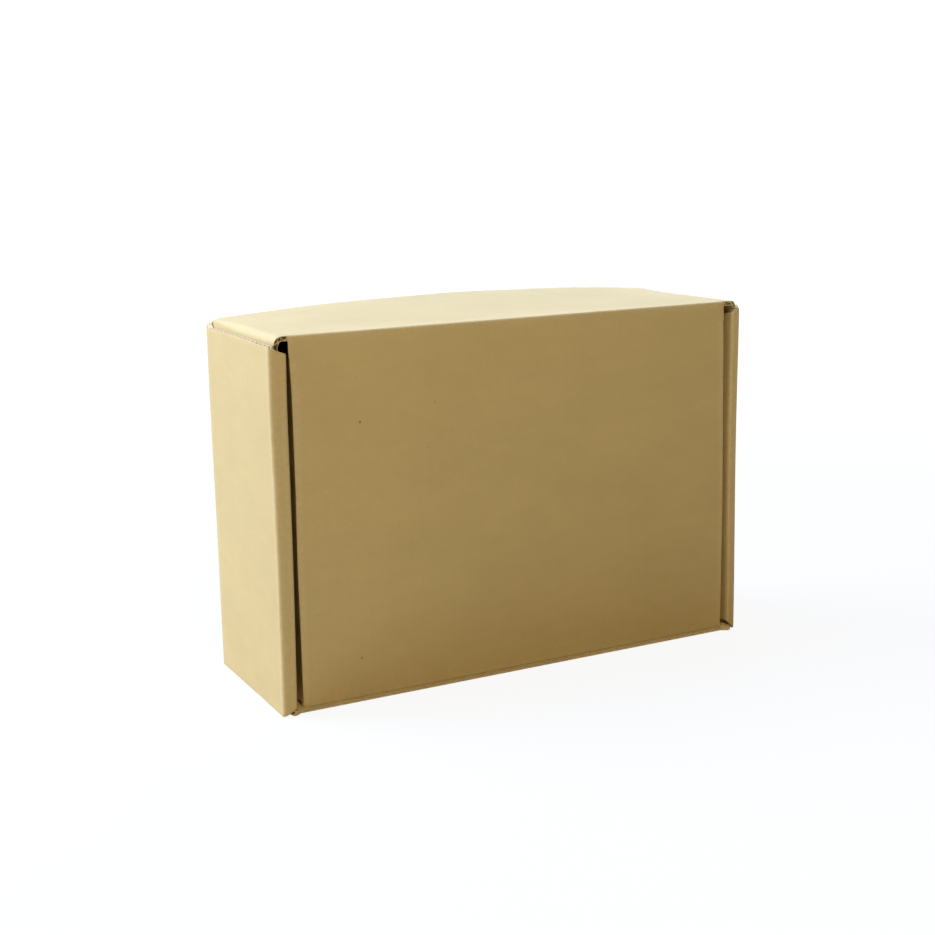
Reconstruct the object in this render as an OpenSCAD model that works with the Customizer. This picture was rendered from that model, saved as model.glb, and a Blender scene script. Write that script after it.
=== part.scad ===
// Closed mailer box of single-wall fluted board, die-cut from one sheet and folded without glue.
// It stands on its front wall, as it does when it is shown closed.
// Frame: x runs along the lid's hinge, y from the lid to the base panel, z up from the floor.
// The origin is on the floor, in the middle of the box's width and depth.

/* [Box] */
// Width over the outer side walls
box_w = 310; // [220:1:420]
// Depth from the lid's outer face to the base panel's outer face
box_d = 102; // [80:1:180]
// Height from the front wall's outer face to the back wall's outer face at the hinge
box_h = 213; // [180:1:320]

/* [Board] */
// Thickness of the fluted board
board = 3; // [2:0.1:4]
// Outer radius of a crushed crease, such as those beside the roll-over strips
crease_r = 2; // [1:0.1:2]
// Outer radius of the folds from the front and back walls to their corner flaps
corner_r = 4.5; // [4:0.1:6]
// Clearance between two layers of board that lie side by side
play = 0.4; // [0.3:0.05:0.8]
// Rise of the back wall's far crease at mid width, where the wall bows outwards
bow = 5.4; // [0:0.1:10]

/* [Side walls] */
// Height of the side walls' lower raw ends above the floor
side_low_gap = 1; // [0.5:0.1:3]
// Gap between the upper corner folds and the side walls' upper raw ends
side_high_gap = 0.8; // [0.3:0.1:3]
// Length by which a roll-over strip is shorter at its inner crease, at each end
strip_taper = 4.7; // [4:0.1:8]
// Length of a locking tab along the inner side wall
tab_len = 30; // [15:1:45]
// Distance between the middles of the two locking tabs on one side
tab_pitch = 104; // [60:1:120]
// Depth by which the tabs' ends stay inside the base panel's outer face
tab_inset = 0.5; // [0.2:0.1:1.5]

/* [Corner flaps] */
// Length of a corner flap, from the wall that carries it to its free end
flap_len = 78; // [40:1:84]
// Distance by which each long edge of a corner flap slants in towards its free end
flap_slant = 7; // [0:0.5:15]
// Radius of a corner flap's free corners
flap_corner_r = 8; // [3:0.5:15]

/* [Lid] */
// Gap between the lid's side edge and the strip beside it, at the hinge
lid_gap = 1.9; // [1:0.1:4]
// Distance by which each side edge of the lid slants in between the hinge and the free edge
lid_slant = 1.1; // [0:0.1:3]
// Clearance between the lid's rounded hinge edge and the back wall
hinge_gap = 0.3; // [0.2:0.05:0.8]
// Distance by which the back wall's raw edge beside the hinge stands behind the lid's face
raw_edge_inset = 0.8; // [0:0.1:2]
// Depth of a side ear, from the lid's outer face
ear_depth = 58; // [40:1:66]
// Distance from the hinge line to an ear's upper end
ear_start = 11; // [5:0.5:30]
// Radius of an ear's free corners
ear_corner_r = 24; // [5:1:30]
// Length of the tuck flap, from the lid's outer face
tuck_len = 38; // [26:1:50]
// Lean of the tuck flap over the least angle at which its tip clears the front wall's edge
tuck_ease = 0.8; // [0.3:0.1:4]
// Radius of the tuck flap's free corners
tuck_corner_r = 18; // [3:1:20]

/* [Hidden] */
$fn = 48;

// A cut reaches this far past the faces that it crosses
over = 1;

// Planes of the box: the lid's outer face, the base panel's outer face and the side walls' raw ends
face_y = -box_d / 2;
base_y = box_d / 2;
side_low = side_low_gap;
side_high = box_h - corner_r - side_high_gap;

// Layers of a double side wall, from the outside: outer wall, corner flap, inner wall
outer_x = box_w / 2;
flap_x = outer_x - board - play;
inner_x = flap_x - board - play;
strip_x = inner_x - board;
wall_x = flap_x - corner_r;

// Reach of the panels behind the roll-over strips and in front of the base panel
under_strip_y = face_y + board + play;
over_base_y = base_y - board - play;

// Hinge of the lid: the axis runs along x at the middle of the board's thickness
axis_y = face_y + board / 2;
axis_z = box_h - board / 2;
hinge_end_y = face_y + board + hinge_gap;

// Lid: half width at the hinge and at the free edge, the free edge's height and the sides' slope
lid_x = strip_x - lid_gap;
lid_low = board + play;
lid_low_x = lid_x - lid_slant;
lid_slope = atan2(lid_slant, axis_z - lid_low);

// Ears: the lower end keeps the ear's free corner clear of the front wall while the lid swings
ear_reach = ear_depth - board / 2;
swing_r = axis_z - board - 2 * play;
ear_low = axis_z - sqrt(pow(swing_r, 2) - pow(ear_reach, 2));
ear_high = axis_z - ear_start;

// Tuck flap: half width, and the lean at which its tip passes the front wall's edge
tuck_x = lid_low_x - board - 2 * play;
tuck_lean = asin(tuck_len / (2 * (axis_z - lid_low))) + tuck_ease;

// Bowed part of the back wall: it starts behind the hinge and ends in the base panel's upper edge
bow_start_y = hinge_end_y + board;
bow_join_z = box_h - 2 * board;
bow_steps = 28;
bow_arc_steps = 4;

// Box given by its lowest and highest corners
module block(low, high) {
    translate(low) cube(high - low);
}

// Section of a right-angled fold: the outer corner is at the origin, and two panels of one board's
// thickness leave along the positive axes. A crushed crease, rounder outside than the board is
// thick, keeps a sharp inner corner.
module fold_section(outer_r) {
    reach = max(outer_r, board);
    difference() {
        intersection() {
            square(reach);
            union() {
                translate([outer_r, outer_r]) circle(outer_r);
                translate([outer_r, 0]) square(reach);
                translate([0, outer_r]) square(reach);
            }
        }
        if (outer_r > board) translate([outer_r, outer_r]) circle(outer_r - board);
    }
}

// Straight fold along z from height low to high
module fold_along_z(outer_r, low, high) {
    translate([0, 0, low]) linear_extrude(high - low) fold_section(outer_r);
}

// Outline of a flap: its root runs from the origin to [width, 0], its long edges slant in by slant
// and its two free corners are arcs that touch the edges
module flap_outline(width, length, slant, r) {
    edge = norm([length, slant]);
    centre = [(r * edge + (length - r) * slant) / length, length - r];
    touch = centre - r * [length, -slant] / edge;
    polygon([
        [0, 0],
        touch,
        [centre[0], length],
        [width - centre[0], length],
        [width - touch[0], touch[1]],
        [width, 0]
    ]);
    translate(centre) circle(r);
    translate([width - centre[0], centre[1]]) circle(r);
}

// Base panel with the slots for the locking tabs at both sides
module base_panel() {
    difference() {
        union() {
            block([board - outer_x, base_y - board, side_low], [outer_x - board, base_y, side_high]);
            block([-wall_x, base_y - board, board], [wall_x, base_y, bow_join_z]);
        }
        for (side = [0, 1], place = [-1, 1]) mirror([side, 0, 0]) tab_slot(place);
    }
}

// Slot in the base panel for one locking tab. Place is 1 for the upper tab and -1 for the lower.
module tab_slot(place) {
    middle = box_h / 2 + place * tab_pitch / 2;
    half = tab_len / 2 + play;
    block([strip_x - play, base_y - board - over, middle - half],
          [inner_x + play, base_y + over, middle + half]);
}

// Locking tab on the inner side wall that carries it through the base panel
module locking_tab(place) {
    middle = box_h / 2 + place * tab_pitch / 2;
    half = tab_len / 2;
    block([strip_x, over_base_y - over, middle - half], [inner_x, base_y - tab_inset, middle + half]);
}

// Outer side wall, roll-over strip and inner side wall in one folded piece, at the side of positive x
module side_wall() {
    difference() {
        union() {
            block([outer_x - board, face_y + board, side_low], [outer_x, base_y - board, side_high]);
            translate([outer_x, base_y, 0]) rotate(180) fold_along_z(crease_r, side_low, side_high);
            translate([outer_x, face_y, 0]) rotate(90) fold_along_z(crease_r, side_low, side_high);
            block([inner_x, face_y, side_low], [outer_x - board, face_y + board, side_high]);
            translate([strip_x, face_y, 0]) fold_along_z(crease_r, side_low, side_high);
            block([strip_x, face_y + board, side_low], [inner_x, over_base_y, side_high]);
        }
        strip_end_cut(side_low, 1);
        strip_end_cut(side_high, -1);
    }
    for (place = [-1, 1]) locking_tab(place);
}

// Cut at one end of a side wall: it slants across the strip and squares off the inner wall. Dir is
// the direction along z from the raw end into the wall.
module strip_end_cut(end_z, dir) {
    outside_z = end_z - dir * over;
    inner_end_z = end_z + dir * strip_taper;
    translate([0, face_y + board, 0]) rotate([90, 0, 0]) linear_extrude(board + over) polygon([
        [outer_x, end_z],
        [strip_x, inner_end_z],
        [strip_x - over, inner_end_z],
        [strip_x - over, outside_z],
        [outer_x, outside_z]
    ]);
    block([strip_x - over, face_y + board, min(outside_z, inner_end_z)],
          [inner_x + play / 2, base_y, max(outside_z, inner_end_z)]);
}

// Corner flap between the layers of a side wall, with the fold to the wall that carries it, at the
// side of positive x. The wall's outer face is the plane z = 0.
module corner_flap(fold_start_y) {
    translate([flap_x, over_base_y, 0]) rotate([90, 0, 0])
        linear_extrude(over_base_y - fold_start_y) rotate(90) fold_section(corner_r);
    translate([flap_x - board, under_strip_y, corner_r]) rotate([90, 0, 90]) linear_extrude(board)
        flap_outline(over_base_y - under_strip_y, flap_len - corner_r, flap_slant, flap_corner_r);
}

// Front wall, on the floor, with its crease to the base panel and two corner flaps
module front_wall() {
    difference() {
        block([-wall_x, face_y, 0], [wall_x, base_y - board, board]);
        for (side = [0, 1]) mirror([side, 0, 0]) front_edge_cut();
    }
    translate([-wall_x, base_y, 0]) rotate([90, 0, 90])
        linear_extrude(2 * wall_x) mirror([1, 0]) fold_section(crease_r);
    for (side = [0, 1]) mirror([side, 0, 0]) corner_flap(under_strip_y);
}

// Cut beside the front wall's raw edge that clears the strip's end, rounded at its inner corner
module front_edge_cut() {
    start_x = lid_low_x + play;
    r = board / 2;
    translate([0, 0, -over]) linear_extrude(board + 2 * over) {
        translate([start_x + r, face_y - over]) square([box_w, board + play + over]);
        translate([start_x, face_y - over]) square([box_w, board + play + over - r]);
        translate([start_x + r, under_strip_y - r]) circle(r);
    }
}

// Back wall: hinge edge, bowed part, raw edges beside the hinge and two corner flaps
module back_wall() {
    block([-wall_x, hinge_end_y, box_h - board], [wall_x, bow_start_y, box_h]);
    bowed_wall();
    for (side = [0, 1]) mirror([side, 0, 0]) {
        block([lid_x + play, face_y + raw_edge_inset, box_h - board], [wall_x, bow_start_y, box_h]);
        translate([0, 0, box_h]) mirror([0, 0, 1]) corner_flap(face_y + raw_edge_inset);
    }
}

// Rise of the back wall's far crease at a place along x
function bow_rise(x) = bow * (1 - pow(x / wall_x, 2));

// Section of the bowed wall at a place along x, as points in order round it. The last is the inner
// corner of the crease to the base panel.
function bow_section(x) = let(rise = bow_rise(x), arc_y = base_y - crease_r, arc_z = box_h + rise - crease_r)
    concat(
        [[x, bow_start_y, box_h - board], [x, bow_start_y, box_h]],
        [for (i = [0:bow_arc_steps]) let(angle = 90 - 90 * i / bow_arc_steps)
            [x, arc_y + crease_r * cos(angle), arc_z + crease_r * sin(angle)]],
        [[x, base_y, bow_join_z], [x, base_y - board, bow_join_z]],
        [[x, base_y - board, box_h + rise - board]]
    );

// Bowed part of the back wall with its far crease: sections joined along x into one closed skin
module bowed_wall() {
    sections = [for (i = [0:bow_steps]) bow_section(wall_x * (2 * i / bow_steps - 1))];
    count = len(sections[0]);
    last = bow_steps * count;
    skin = [for (i = [0:bow_steps - 1], j = [0:count - 1])
        let(a = i * count, b = a + count, k = (j + 1) % count)
        each [[a + j, a + k, b + j], [a + k, b + k, b + j]]];
    first_cap = [for (j = [0:count - 3]) [count - 1, j + 1, j]];
    last_cap = [for (j = [0:count - 3]) [last + count - 1, last + j, last + j + 1]];
    polyhedron([for (section = sections) each section], concat(skin, first_cap, last_cap));
}

// The folded sheet apart from the lid
module tray() {
    color([0.80, 0.69, 0.50]) union() {
        base_panel();
        front_wall();
        back_wall();
        for (side = [0, 1]) mirror([side, 0, 0]) side_wall();
    }
}

// Lid panel: its side edges slant in, its free edge leaves room for the crease to the tuck flap and
// its side edges are rounded along the ears
module lid_panel() {
    half = [
        [lid_x, axis_z],
        [lid_low_x, lid_low],
        [tuck_x, lid_low],
        [tuck_x, lid_low + board]
    ];
    other_half = [for (i = [len(half) - 1:-1:0]) [-half[i][0], half[i][1]]];
    difference() {
        translate([0, face_y + board, 0]) rotate([90, 0, 0])
            linear_extrude(board) polygon(concat(half, other_half));
        for (side = [0, 1]) mirror([side, 0, 0]) along_side_edge() ear_crease_cut();
    }
}

// Places its child at an ear's upper end: z then runs up along the lid's side edge, x points out of
// the box's side and y into the box from the lid's outer face
module along_side_edge() {
    start_x = lid_x - ear_start * tan(lid_slope);
    translate([start_x, face_y, ear_high]) rotate([0, lid_slope, 0]) children();
}

// Length of an ear along the lid's side edge
function ear_len() = (ear_high - ear_low) / cos(lid_slope);

// Cut that rounds the lid's side edge along an ear
module ear_crease_cut() {
    translate([0, 0, -ear_len()]) linear_extrude(ear_len()) difference() {
        translate([-crease_r, -over]) square(crease_r + over);
        translate([-crease_r, crease_r]) circle(crease_r);
    }
}

// Ear at the side of positive x, folded in from the lid's side edge
module ear() {
    along_side_edge() translate([-board, board / 2, 0]) rotate([0, 90, 0]) linear_extrude(board)
        flap_outline(ear_len(), ear_depth - board / 2, 0, ear_corner_r);
}

// Rounded edge of the lid at the hinge, its centre line on the hinge axis
module hinge_edge() {
    translate([-lid_x, axis_y, axis_z]) rotate([0, 90, 0]) cylinder(d = board, h = 2 * lid_x);
}

// Tuck flap with its crease along the lid's free edge
module tuck_flap() {
    translate([-tuck_x, face_y, lid_low]) rotate([90, 0, 90])
        linear_extrude(2 * tuck_x) fold_section(crease_r);
    translate([-tuck_x, face_y + board, lid_low]) rotate([tuck_lean, 0, 0])
        linear_extrude(board) flap_outline(2 * tuck_x, tuck_len - board, 0, tuck_corner_r);
}

// The lid with everything that swings with it
module lid() {
    color([0.66, 0.54, 0.35]) union() {
        lid_panel();
        hinge_edge();
        tuck_flap();
        for (side = [0, 1]) mirror([side, 0, 0]) ear();
    }
}

tray();
lid();
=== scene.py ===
"""Closed mailer box of kraft fluted board: the folded sheet, its finish, the light and the camera.

Sizes are in millimetres, as in the part's source, and become metres when a mesh is made. x runs along
the lid's hinge, y from the lid to the base panel and z up from the floor.
"""
import math

import bpy
import numpy as np
from mathutils import Matrix, Vector


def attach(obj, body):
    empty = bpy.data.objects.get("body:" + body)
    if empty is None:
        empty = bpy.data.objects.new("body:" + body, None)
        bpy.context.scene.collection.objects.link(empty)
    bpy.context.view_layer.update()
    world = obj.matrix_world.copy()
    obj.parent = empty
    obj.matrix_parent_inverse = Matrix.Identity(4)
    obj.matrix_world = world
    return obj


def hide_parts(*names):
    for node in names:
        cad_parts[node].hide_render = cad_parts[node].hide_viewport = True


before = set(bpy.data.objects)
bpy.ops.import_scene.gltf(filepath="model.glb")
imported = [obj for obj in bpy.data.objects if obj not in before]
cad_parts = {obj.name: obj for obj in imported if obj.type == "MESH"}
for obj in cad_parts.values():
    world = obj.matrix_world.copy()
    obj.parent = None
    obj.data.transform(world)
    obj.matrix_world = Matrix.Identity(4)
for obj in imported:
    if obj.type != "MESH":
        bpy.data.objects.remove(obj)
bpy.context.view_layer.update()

MM = 0.001

# Box, board and folds, as in the part's source
BOX_W, BOX_D, BOX_H = 310.0, 102.0, 213.0
BOARD = 3.0
CREASE_R = 2.0
TUCK_CREASE_R = 0.25
EAR_CREASE_R = 0.8
CORNER_R = 4.5
PLAY = 0.4
BOW = 5.4
FACE_Y, BASE_Y = -BOX_D / 2, BOX_D / 2
OUTER_X = BOX_W / 2
FLAP_X = OUTER_X - BOARD - PLAY
INNER_X = FLAP_X - BOARD - PLAY
STRIP_X = INNER_X - BOARD
WALL_X = FLAP_X - CORNER_R
SIDE_LOW, SIDE_HIGH = 0.4, BOX_H - CORNER_R - 0.8
# Slanted ends of a strip: rise at the inner edge and power of the curve, at the top and at the bottom
STRIP_TOP = (4.7, 1.0)
STRIP_BOTTOM = {-1: (4.6, 1.5), 1: (6.0, 0.8)}
# The right strip's top stands higher, which fades out over the front of the outer wall
STRIP_LIFT, LIFT_REACH = {-1: 0.0, 1: 2.5}, 18.0
# The base panel's corners reach above and below the side walls: by how much, and the shares of it at the
# start and end of the fold and CORNER_FADE away from it
CORNER_HIGH, HIGH_SHARES = 4.9, (1, 0.7, 0.37, 0)
CORNER_LOW, LOW_SHARES = 0.3, (1, 0.6, 0)
CORNER_FADE = 3.0
# The back wall's side folds grow sharper towards the base: share of the fold's corner that is filled
FOLD_FILL, FILL_REACH = 0.75, 40.0
# How much further back a lower corner flap's front edge lies than the strip's inner face
FLAP_RELIEF = 4.0
UNDER_STRIP_Y, OVER_BASE_Y = FACE_Y + BOARD + PLAY, BASE_Y - BOARD - PLAY

# Locking tabs on the inner side walls and their slots in the base panel
TAB_HALF = 15.0
TAB_MIDDLES = (BOX_H / 2 - 52.0, BOX_H / 2 + 52.0)
TAB_END_Y = BASE_Y - 0.5
SLOT_HALF = TAB_HALF + 0.9 * PLAY

# Corner flaps: length, slant and corners. The upper step back behind the strip over a depth, the lower
# from one share of the fold on and over another. FLAP_NEARNESS is the fold's own nearness to a fold.
FLAP_LEN, FLAP_SLANT, FLAP_CORNER_R = 78.0, 7.0, 8.0
UPPER_OVER, LOWER_FROM, LOWER_OVER = 0.8, 0.4, 0.3
FLAP_NEARNESS = 0.6

# Lid, its hinge, ears and tuck flap
AXIS_Y, AXIS_Z = FACE_Y + BOARD / 2, BOX_H - BOARD / 2
RAW_EDGE_Y = FACE_Y + 0.8
LID_X, LID_SLANT = STRIP_X - 1.9, 1.1
LID_LOW = BOARD + 0.05
EAR_DEPTH, EAR_CORNER_R = 58.0, 24.0
EAR_LOW, EAR_HIGH = 5.0, AXIS_Z - 11.0
TUCK_X = LID_X - LID_SLANT - BOARD - 2 * PLAY
TUCK_LEN, TUCK_CORNER_R = 38.0, 18.0
TUCK_LEAN = math.radians(6.04)
# Depth of the tuck flap that its crease takes up, and the length below the hinge's top line over
# which the raw edge is closed
TUCK_START, HINGE_CLOSED = 4, 4

# Where the bowed part of the back wall starts, the share of its depth over which the slope eases in,
# and the height from which the base panel follows the bow
BOW_START_Y, BOW_EASE, BOW_FROM_Z = -44.7, 0.12, 185

# How the hand-folded box differs from the drawn one. At the top and at the floor: how far the strips
# stand proud of the lid, and how far each strip's inner edge moves out.
STRIP_PROUD = (1.3, 2.2)
SQUEEZE = {-1: (-0.9, 1.4), 1: (3.8, 4.8)}
# Height below the back wall's fold and width inside the strip over which the first sets in, and the
# depth and width over which the second fades
PROUD_RISE, PROUD_WIDTH, SQUEEZE_REACH, SQUEEZE_WIDTH = 0.6, 1.2, 30.0, 2.7
# How far each outer face spreads at the floor
SPREAD = {-1: 0.3, 1: 0.6}
# How far each edge of the lid moves right, at shares of its height, and the flaps' share of that
LID_DOWN = (0.0, 0.15, 0.4, 0.6, 1.0)
LID_LEFT = (0.0, 1.5, 0.75, -0.35, -0.05)
LID_RIGHT = (0.0, 1.3, 2.95, 3.8, 3.8)
FLAPS_FOLLOW = 0.4
# Inward lean of the ears: what they have bent in by, over what depth, the slope beyond it, and the
# height over which the lean sets in
EAR_BEND, BEND_REACH, EAR_SLOPE, LEAN_RISE = 3.4, 7.0, 0.04, 9.0

# Inside of the board at a raw edge, as shares of its thickness
LINER, MEDIUM, MEDIUM_CLEAR = 0.11, 0.05, 0.006
FLUTE_PITCH = 6.4
# Depth of the recesses between liner and medium, how open they are in the front wall's pressed edge,
# and how far a crushed fold closes them
RECESS, FRONT_EDGE_OPEN, CRUSHED = 3.2, 0.12, 0.75

# How far a die-cut edge is pinched on each skin, and over what distance
PINCH, PINCH_REACH = 0.16, 0.7
# Dent beside a crease on the outer skin: depth, distance from the crease, spread and fade to a raw end
DENT, DENT_AT, DENT_SPREAD, DENT_FADE = 0.07, 2.6, 1.3, 6.0
FOLD_SPREAD = 2.4
# Inner radius left in a crushed fold, and the steps round a fold and round a wider bend
INSIDE_R = 0.4
FOLD_STEPS, BEND_STEPS = 6, 8
# Waviness of the board: seed, number of waves, their lengths, swing and largest phase, and the distance
# from floor and hinge over which they fade in
WAVE_SEED, WAVES, WAVE_LENGTHS, WAVE_SWING, WAVE_PHASE, WAVE_FADE = 427, 5, (70, 170), 0.085, 6.28, 40

# Steps between the lines of each board's grid, the lines across the lid's margin and along a corner
# flap, and the distances from an end at which there is a line
FINE, SIDE_STEP, FRONT_STEP, BASE_STEP, BACK_STEP = 0.8, 24, 14, 20, 7
LID_STEP, EAR_STEP, FLAP_STEP, MARGIN_STEP = 14, 15, 9, 3
MARGIN_LINES, FLAP_LINES = 7, 5
NEAR_EDGE = (0.3, 0.8, 1.6)
NEAR_SIDE, NEAR_EAR = NEAR_EDGE + (3.0, 7.0), NEAR_EDGE + (4.0, 10.0)
NEAR_FOLD, NEAR_HINGE = (1.0, 3.0), (0.7, 1.5, 3.0)
NEAR_FLAP, FLAP_FROM, NEAR_TUCK = (0.0, 0.4, 0.8, 2.0), 6, (0.0, 1.0, 3.0, 8.0)
# Distance from a board's ends over which its lines are shifted: the inner skin of a section, and the
# lines of a side wall, a corner flap and an ear
SKIN_REACH, SIDE_REACH, FLAP_REACH, EAR_REACH = 9.0, 30, 45, 70
# Distance that means no raw edge nearby, distance within which points are one, and the angle of a
# sharp edge
FAR = 99
WELD = 0.002
SHARP = math.radians(34)


def run(start, end, step, near=(), stops=()):
    """Places from start to end in even steps of about step, with extra ones at the distances near from
    both ends and at the stops that lie between them."""
    way = 1 if end > start else -1
    even = np.linspace(start, end, max(1, round(abs(end - start) / step)) + 1)
    near = [d for d in near if d < abs(end - start) / 2]
    extra = [start + way * d for d in near] + [end - way * d for d in near] + list(stops)
    places = np.unique(np.round(np.concatenate([even, extra]), 4))
    places = places[(places > min(start, end) - WELD) & (places < max(start, end) + WELD)]
    return places if way > 0 else places[::-1]


def straight(places, outer_at, inner_at, axis, inner_ends):
    """Run of a section along one axis. The outer skin lies at outer_at on the other axis and the inner
    skin at inner_at. Near both ends the inner skin's places are pulled in to inner_ends."""
    low, high = min(places), max(places)
    reach = min(SKIN_REACH, (high - low) / 3)
    inner = np.interp(places, [low, low + reach, high - reach, high],
                      [inner_ends[0], low + reach, high - reach, inner_ends[1]])
    rest_out, rest_in = np.full(len(places), outer_at), np.full(len(places), inner_at)
    pairs = (places, rest_out), (inner, rest_in)
    if axis == 1:
        pairs = (rest_out, places), (rest_in, inner)
    return np.stack(pairs[0], axis=1), np.stack(pairs[1], axis=1), False


def crease(centre, first, last, inside, steps=FOLD_STEPS, radius=CREASE_R):
    """Crushed fold. The outer skin is an arc about centre from the angle first to last, in degrees.
    The inner skin is a quadratic curve through the three points of inside, drawn to the middle one."""
    t = np.linspace(0, 1, steps + 1)[:, None]
    angle = np.radians(first + (last - first) * t)
    outer = np.array(centre) + radius * np.concatenate([np.cos(angle), np.sin(angle)], axis=1)
    a, b, c = (np.array(p) for p in inside)
    return outer, (1 - t) ** 2 * a + 2 * t * (1 - t) * b + t ** 2 * c, True


def section(*runs):
    """Joins the runs of a section end to end. Returns the outer and inner points, the length along the
    middle of the board, the nearness to a fold, 1 on a bend and a bell curve of the distance from it,
    and the number of the first point of each run. The outer skin has a shallow dent beside each bend:
    a bell curve round DENT_AT from it."""
    outer = np.concatenate([r[0][min(k, 1):] for k, r in enumerate(runs)])
    inner = np.concatenate([r[1][min(k, 1):] for k, r in enumerate(runs)])
    bent = np.concatenate([np.full(len(r[0]) - min(k, 1), r[2]) for k, r in enumerate(runs)])
    middle = (outer + inner) / 2
    length = np.concatenate([[0.0], np.cumsum(np.linalg.norm(np.diff(middle, axis=0), axis=1))])
    gap = np.abs(length[:, None] - length[None, bent]).min(axis=1)
    through = (inner - outer) / np.linalg.norm(inner - outer, axis=1)[:, None].clip(1e-6)
    to_end = np.minimum(length, length[-1] - length)
    dent = DENT * np.exp(-(((gap - DENT_AT) / DENT_SPREAD) ** 2))
    dent = dent * (gap > 0) * np.clip(to_end / DENT_FADE, 0, 1)
    firsts = np.cumsum([0] + [len(r[0]) - 1 for r in runs])
    return outer + through * dent[:, None], inner, length, np.exp(-((gap / FOLD_SPREAD) ** 2)), firsts


def grid(x, y, z):
    """Grid of points from coordinates that differ by row, by column or by both."""
    return np.stack(np.broadcast_arrays(x, y, z), axis=2)


def pinched(outer, inner, raw):
    """Skins drawn towards each other near a die-cut edge: by PINCH times a bell curve of raw, the
    distance to that edge."""
    through = inner - outer
    through = through / np.linalg.norm(through, axis=2)[:, :, None].clip(1e-6)
    draw = (PINCH * np.exp(-((raw / PINCH_REACH) ** 2)))[:, :, None]
    return outer + through * draw, inner - through * draw


def rounded_inset(depth, length, radius):
    """Inset of a flap's long edge at a depth from its root, for a free corner of that radius: zero up to
    the corner, then the radius less the height of a circle."""
    into = np.clip(depth - (length - radius), 0, radius)
    return radius - np.sqrt(radius ** 2 - into ** 2)


def corner_depths(length, radius, first, step):
    """Depths of a flap's lines round its free corner: the length less the radius, plus the radius times
    the sine of the angles from first up to 90 degrees."""
    return length - radius * (1 - np.sin(np.radians(np.arange(first, 91, step))))


def towards(line, low, high, low_shift, high_shift, reach):
    """Lines between low and high whose ends are shifted inwards, the shift fading to nothing over
    reach."""
    return (line + low_shift * np.clip(1 - (line - low) / reach, 0, 1)
            - high_shift * np.clip(1 - (high - line) / reach, 0, 1))


def board(outer, inner, across, along, fold, opened, present=None):
    """One board as a closed solid, from the grids of its two skins. Every present cell gives a quad on
    each skin. Wherever the cells end, nine narrow quads join the skins: the cut liner, a recess that
    reaches RECESS into the board, the cut medium, the second recess and the other liner. The medium's
    height in the board is a sine of the distance across the flutes, and opened, from 0 to 1, is how
    open the recesses are. Returns points, quads, whether a quad is on the raw edge, each point's place
    on the flat blank and its nearness to a fold."""
    rows, cols = outer.shape[:2]
    across, along, fold, opened = (np.broadcast_to(v, (rows, cols)).ravel()
                                   for v in (across, along, fold, opened))
    if present is None:
        present = np.ones((rows - 1, cols - 1), bool)
    index = np.arange(rows * cols).reshape(rows, cols)
    skin = rows * cols
    out, inn = outer.reshape(-1, 3), inner.reshape(-1, 3)
    middle = (out + inn) / 2
    i, j = np.nonzero(present)
    cell = np.stack([index[i, j], index[i, j + 1], index[i + 1, j + 1], index[i + 1, j]], axis=1)
    normal = np.cross(out[cell[:, 1]] - out[cell[:, 0]], out[cell[:, 3]] - out[cell[:, 0]])
    faces_out = np.sum(normal * (out - inn)[cell[:, 0]]) > 0
    points, quads = [out, inn], [cell, cell[:, ::-1] + skin]
    shares, owners = [np.zeros(skin), np.ones(skin)], [np.arange(skin), np.arange(skin)]
    count = 2 * skin
    padded = np.pad(present, 1)
    corners = [(0, 0), (0, 1), (1, 1), (1, 0), (0, 0)]
    for side, (di, dj) in enumerate([(-1, 0), (0, 1), (1, 0), (0, -1)]):
        i, j = np.nonzero(present & ~padded[1 + di:rows + di, 1 + dj:cols + dj])
        if not len(i):
            continue
        (ai, aj), (bi, bj) = corners[side], corners[side + 1]
        a, b = index[i + ai, j + aj], index[i + bi, j + bj]
        edge, place, times = np.unique(np.concatenate([a, b]), return_inverse=True, return_counts=True)
        away = middle[edge] - middle[edge - di * cols - dj]
        away /= np.linalg.norm(away, axis=1)[:, None].clip(1e-9)
        swing = 0.5 - LINER - MEDIUM - MEDIUM_CLEAR
        swing = swing * np.sin(2 * math.pi * across[edge] / FLUTE_PITCH)
        first, last = 0 * swing + LINER, 0 * swing + 1 - LINER
        share = np.stack([first, first, 0.5 + swing - MEDIUM, 0.5 + swing - MEDIUM,
                          0.5 + swing + MEDIUM, 0.5 + swing + MEDIUM, last, last], axis=1)
        deep = np.array([0, 1, 1, 0, 0, 1, 1, 0]) * (RECESS * opened[edge] * (times == 2))[:, None]
        rim = (out[edge][:, None] + (inn - out)[edge][:, None] * share[:, :, None]
               - away[:, None] * deep[:, :, None])
        points.append(rim.reshape(-1, 3))
        shares.append(share.ravel())
        owners.append(np.repeat(edge, 8))
        inside = count + place.reshape(2, -1, 1) * 8 + np.arange(8)
        count += 8 * len(edge)
        strip_a = np.concatenate([a[:, None], inside[0], a[:, None] + skin], axis=1)
        strip_b = np.concatenate([b[:, None], inside[1], b[:, None] + skin], axis=1)
        quads.append(np.stack([strip_b[:, :-1], strip_a[:, :-1], strip_a[:, 1:], strip_b[:, 1:]],
                              axis=2).reshape(-1, 4))
    raw = np.concatenate([np.zeros(2 * len(cell), bool), np.ones(sum(map(len, quads[2:])), bool)])
    quads = np.concatenate(quads)
    owner, share = np.concatenate(owners), np.concatenate(shares)
    blank = np.stack([across[owner], along[owner], share * BOARD], axis=1)
    return (np.concatenate(points), quads if faces_out else quads[:, ::-1], raw, blank, fold[owner])


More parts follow.
